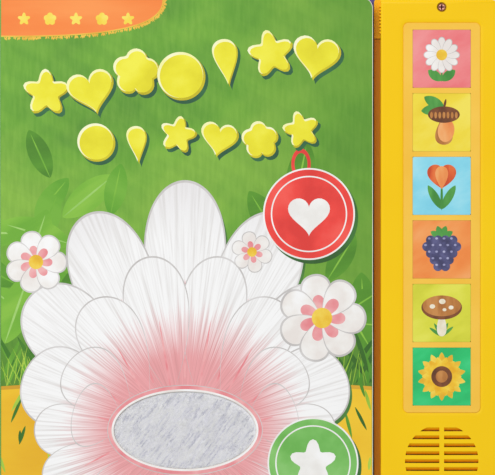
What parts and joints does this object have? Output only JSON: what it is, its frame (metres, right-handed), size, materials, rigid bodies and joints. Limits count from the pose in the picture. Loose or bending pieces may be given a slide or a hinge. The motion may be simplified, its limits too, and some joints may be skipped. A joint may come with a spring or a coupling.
{
  "type": "sound book",
  "caption": "Closed children's board book with a hinged cover, a plush touch patch and a plastic sound case with picture keys, speaker grille and battery drawer.",
  "frame": {"origin": "middle of the back board's underside, the book lying closed on its back", "axes": "+X from the spine towards the sound case, +Y towards the book's head, +Z out of the front cover"},
  "size_m": [0.201, 0.206, 0.0184],
  "materials": {
    "cover_board": "satin printed laminate",
    "back_board": "satin printed laminate",
    "leaf_board": "uncoated board edges, satin printed faces",
    "spine_card": "satin printed laminate",
    "plush": "short soft pile",
    "yellow_plastic": "soft gloss moulded",
    "printed_film": "satin film",
    "key_pink": "satin film over moulded cap",
    "key_yellow": "satin film over moulded cap",
    "key_blue": "satin film over moulded cap",
    "key_orange": "satin film over moulded cap",
    "key_lime": "satin film over moulded cap",
    "key_green": "satin film over moulded cap",
    "pale_rubber": "matte",
    "green_laminate": "solder resist",
    "black_resin": "glossy drop",
    "steel": "nickel plated",
    "black_mylar": "thin formed film",
    "brass_leaf": "bright spring leaf",
    "copper_screw": "copper coloured plating",
    "red_sleeve": "matte",
    "black_sleeve": "matte"
  },
  "bodies": {
    "root": {"back_cover": "back_board", "page_block": "leaf_board", "spine_strip": "spine_card", "case_front": "yellow_plastic", "case_back": "yellow_plastic", "battery_drawer": "yellow_plastic", "battery_screw": "copper_screw", "battery_cell_1": "steel", "battery_cell_2": "steel", "battery_cell_3": "steel", "cell_contact_plus": "brass_leaf", "cell_contact_minus": "brass_leaf", "feed_finger_plus": "brass_leaf", "feed_finger_minus": "brass_leaf", "picture_strip": "printed_film", "rubber_dome_1": "pale_rubber", "rubber_dome_2": "pale_rubber", "rubber_dome_3": "pale_rubber", "rubber_dome_4": "pale_rubber", "rubber_dome_5": "pale_rubber", "rubber_dome_6": "pale_rubber", "circuit_board": "green_laminate", "sound_chip": "black_resin", "speaker_frame": "steel", "speaker_magnet": "steel", "speaker_cone": "black_mylar", "speaker_lead_red": "red_sleeve", "speaker_lead_black": "black_sleeve", "case_screw_1": "steel", "case_screw_2": "steel", "case_screw_3": "steel", "case_screw_4": "steel", "case_screw_5": "steel", "case_screw_6": "steel"},
    "cover": {"front_cover": "cover_board", "touch_patch": "plush"},
    "key_1": {"picture_key_1": "key_pink"},
    "key_2": {"picture_key_2": "key_yellow"},
    "key_3": {"picture_key_3": "key_blue"},
    "key_4": {"picture_key_4": "key_orange"},
    "key_5": {"picture_key_5": "key_lime"},
    "key_6": {"picture_key_6": "key_green"}
  },
  "joints": [
    {"name": "cover_hinge", "type": "hinge", "parent": "root", "child": "cover", "pos_m": [-0.1007, 0, 0.0145], "axis": [0, -1, 0], "range_deg": [0, 180]},
    {"name": "key_1_press", "type": "slide", "parent": "root", "child": "key_1", "axis": [0, 0, -1], "range_m": [0, 0.0006], "stiffness_N_per_m": 500, "springref_m": -0.0004, "deforming": ["rubber_dome_1"]},
    {"name": "key_2_press", "type": "slide", "parent": "root", "child": "key_2", "axis": [0, 0, -1], "range_m": [0, 0.0006], "stiffness_N_per_m": 500, "springref_m": -0.0004, "deforming": ["rubber_dome_2"]},
    {"name": "key_3_press", "type": "slide", "parent": "root", "child": "key_3", "axis": [0, 0, -1], "range_m": [0, 0.0006], "stiffness_N_per_m": 500, "springref_m": -0.0004, "deforming": ["rubber_dome_3"]},
    {"name": "key_4_press", "type": "slide", "parent": "root", "child": "key_4", "axis": [0, 0, -1], "range_m": [0, 0.0006], "stiffness_N_per_m": 500, "springref_m": -0.0004, "deforming": ["rubber_dome_4"]},
    {"name": "key_5_press", "type": "slide", "parent": "root", "child": "key_5", "axis": [0, 0, -1], "range_m": [0, 0.0006], "stiffness_N_per_m": 500, "springref_m": -0.0004, "deforming": ["rubber_dome_5"]},
    {"name": "key_6_press", "type": "slide", "parent": "root", "child": "key_6", "axis": [0, 0, -1], "range_m": [0, 0.0006], "stiffness_N_per_m": 500, "springref_m": -0.0004, "deforming": ["rubber_dome_6"]}
  ]
}
